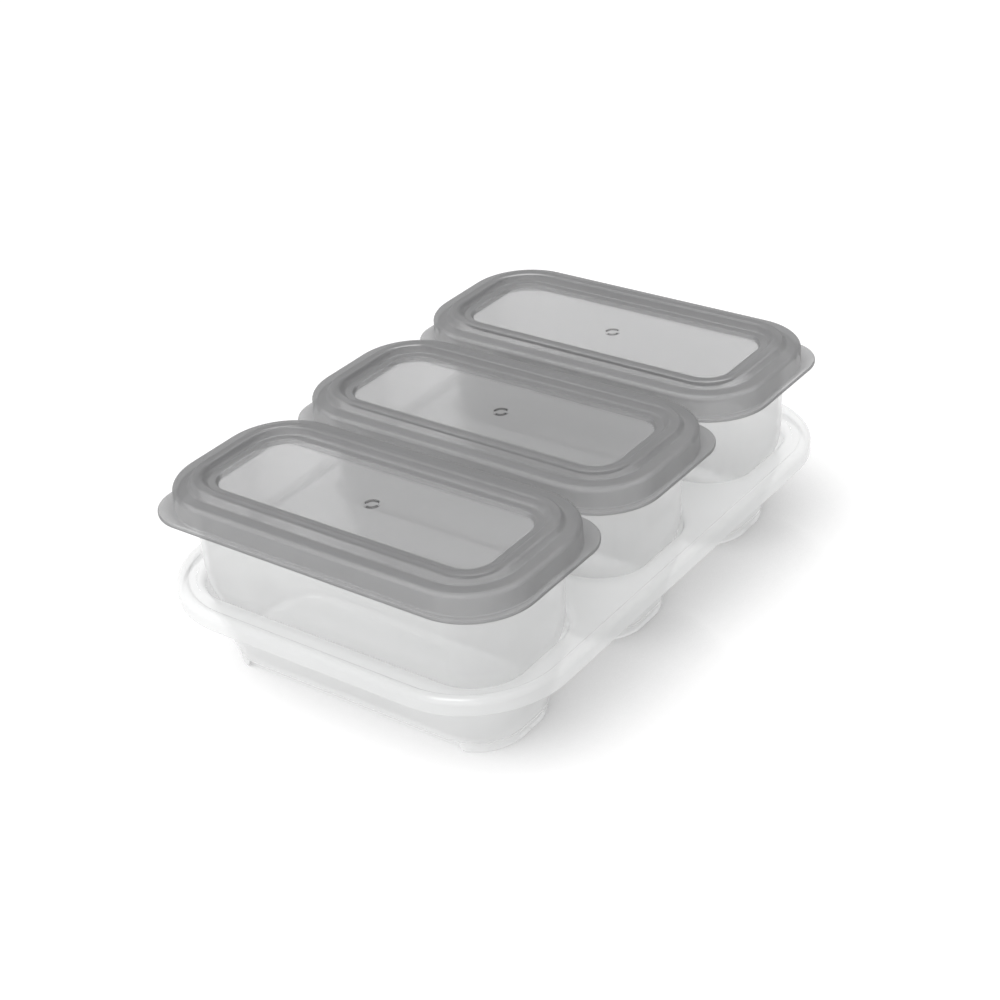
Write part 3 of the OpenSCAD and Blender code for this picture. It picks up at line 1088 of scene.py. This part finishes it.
    def build(self, material: Material) -> None:
        """Makes the tray in the place of its CAD node: one grid for the edge and two for each well.

        Args:
            material: The clear plastic.
        """
        skin = Skin()
        deck, under = self.outer.grown(-self.deck_in), self.outer.grown(-self.under_in)
        skin.add_rings(self.edge_rings(deck, under))
        shares = (0.0, 0.3, 0.6, 0.85)
        for row in ROWS:
            middle = row_middle(row)
            inside = [level.ring(middle) for level in self.well_levels()]
            top = spread(self.cell(deck, row, DECK_Z), inside[0], shares)
            skin.add_rings(top + inside, closed_end=True)
            outside = [level.ring(middle) for level in self.shell_levels()]
            underside = spread(self.cell(under, row, DECK_Z - self.wall), outside[0], shares)
            skin.add_rings(underside + outside + self.foot_rings(middle), closed_end=True)
        skin.to_piece("clear_tray", "tray", material)


@dataclass(frozen=True)
class Lamp:
    """A wide soft light from far away: its direction, spread in degrees and watts per square metre."""

    name: str
    toward: Triple
    spread: float
    strength: float

    def build(self) -> None:
        """Makes the light."""
        data = bpy.data.lights.new(self.name, "SUN")
        data.angle, data.energy = math.radians(self.spread), self.strength
        light = bpy.data.objects.new(self.name, data)
        light.rotation_mode = "QUATERNION"
        light.rotation_quaternion = (-Vector(self.toward)).to_track_quat("-Z", "Y")
        bpy.context.scene.collection.objects.link(light)


@dataclass
class Studio:
    """Floor, soft lamps, white surroundings and the camera of the photograph, with its angles in degrees."""

    azimuth: float = 37.55
    elevation: float = 30.52
    roll: float = -4.09
    distance: float = 601.8
    aim: Triple = (0.0, 0.0, 31.18)
    slide: Point = (1.95, 2.73)  # how far the camera is moved left and down of its place
    lens: float = 70.51
    sensor: float = 36.0
    sight: Point = (0.05, 50.0)  # nearest and farthest that the camera sees, in metres
    even_light: float = 0.5
    floor_radius: float = 3000.0
    lamps: tuple[Lamp, ...] = (Lamp("key_light", (-0.05, -0.4, 0.91), 30.0, 1.4),
                               Lamp("front_light", (0.3, -0.92, 0.2), 50.0, 0.75))

    def camera(self) -> None:
        """Makes the camera: it stands back from the aim along azimuth and elevation, turned by the roll."""
        a, e, r = (math.radians(v) for v in (self.azimuth, self.elevation, self.roll))
        back = Vector((math.sin(a) * math.cos(e), -math.cos(a) * math.cos(e), math.sin(e)))
        level_right = (-back).cross(Vector((0, 0, 1))).normalized()
        level_up = level_right.cross(-back)
        right = math.cos(r) * level_right + math.sin(r) * level_up
        up = -math.sin(r) * level_right + math.cos(r) * level_up
        place = Vector(self.aim) + back * self.distance - right * self.slide[0] - up * self.slide[1]
        data = bpy.data.cameras.new("camera")
        data.lens, data.sensor_width = self.lens, self.sensor
        data.clip_start, data.clip_end = self.sight
        camera = bpy.data.objects.new("camera", data)
        rows = [(right[i], up[i], back[i], place[i] * MM) for i in range(3)]
        camera.matrix_world = Matrix((*rows, (0, 0, 0, 1)))
        bpy.context.scene.collection.objects.link(camera)
        bpy.context.scene.camera = camera

    def surroundings(self) -> None:
        """Sets the world: even light, seen as white by the camera, in mirrors and through the plastic."""
        world = bpy.data.worlds.new("surroundings")
        world.use_nodes = True
        bpy.context.scene.world = world
        wiring = Wiring(world.node_tree)
        light, white = world.node_tree.nodes["Background"], wiring.add("Background")
        for node, strength in ((light, self.even_light), (white, 1.0)):
            wiring.feed(node, {"Color": (1, 1, 1), "Strength": strength})
        wiring.show(light.outputs["Background"], white.outputs["Background"], "World Output")

    def floor(self) -> None:
        """Makes the floor: a wide disc at the height of the feet, with narrower rings near its middle."""
        points = circle_ring(self.floor_radius, 0.0)
        skin = Skin()
        skin.add_rings([points * share for share in (0.001, 0.05, 1.0)], closed_start=True)
        floor = skin.to_object("floor")
        if floor.data.polygons[0].normal.z < 0:
            floor.data.flip_normals()
        floor.data.materials.append(FloorFinish().material())

    def build(self) -> None:
        """Makes the whole studio."""
        self.camera()
        self.floor()
        self.surroundings()
        for lamp in self.lamps:
            lamp.build()
        bpy.context.scene.view_settings.view_transform = "Standard"


TRAY_FINISH = PlasticFinish(Slot.TRAY, tint=(0.88, 0.885, 0.885), tint_deep=(0.85, 0.855, 0.855),
                            roughness=0.08, bump=0.04, alpha=0.52, alpha_edge=0.72, specular=1.0)
CONTAINER_FINISH = PlasticFinish(Slot.CONTAINER, tint=(0.85, 0.855, 0.855), tint_deep=(0.81, 0.815, 0.815),
                                 roughness=0.12, bump=0.12, alpha=0.42, alpha_edge=0.8, specular=0.8)
LID_FINISH = LidFinish(Slot.LID, tint=(0.25, 0.25, 0.253), tint_deep=(0.24, 0.24, 0.243), roughness=0.5,
                       bump=0.1, alpha=0.62, alpha_edge=0.92, specular=0.15, transmission=0.0,
                       grain_size=2600.0, wave_size=60.0, open_to=0.14, dense_from=0.46, passed=0.04)


def main() -> None:
    """Builds the set and its studio."""
    logging.basicConfig(level=logging.INFO, format="%(message)s")
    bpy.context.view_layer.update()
    group = MouldedSurface().group()
    finishes = (TRAY_FINISH, CONTAINER_FINISH, LID_FINISH)
    tray_clear, container_clear, lid_grey = (finish.material(group) for finish in finishes)
    Tray().build(tray_clear)
    for row in ROWS:
        Container(row).build(container_clear)
        Lid(row).build(lid_grey)
        LOG.info("row %d built", row)
    Studio().build()


if __name__ == "__main__":
    main()
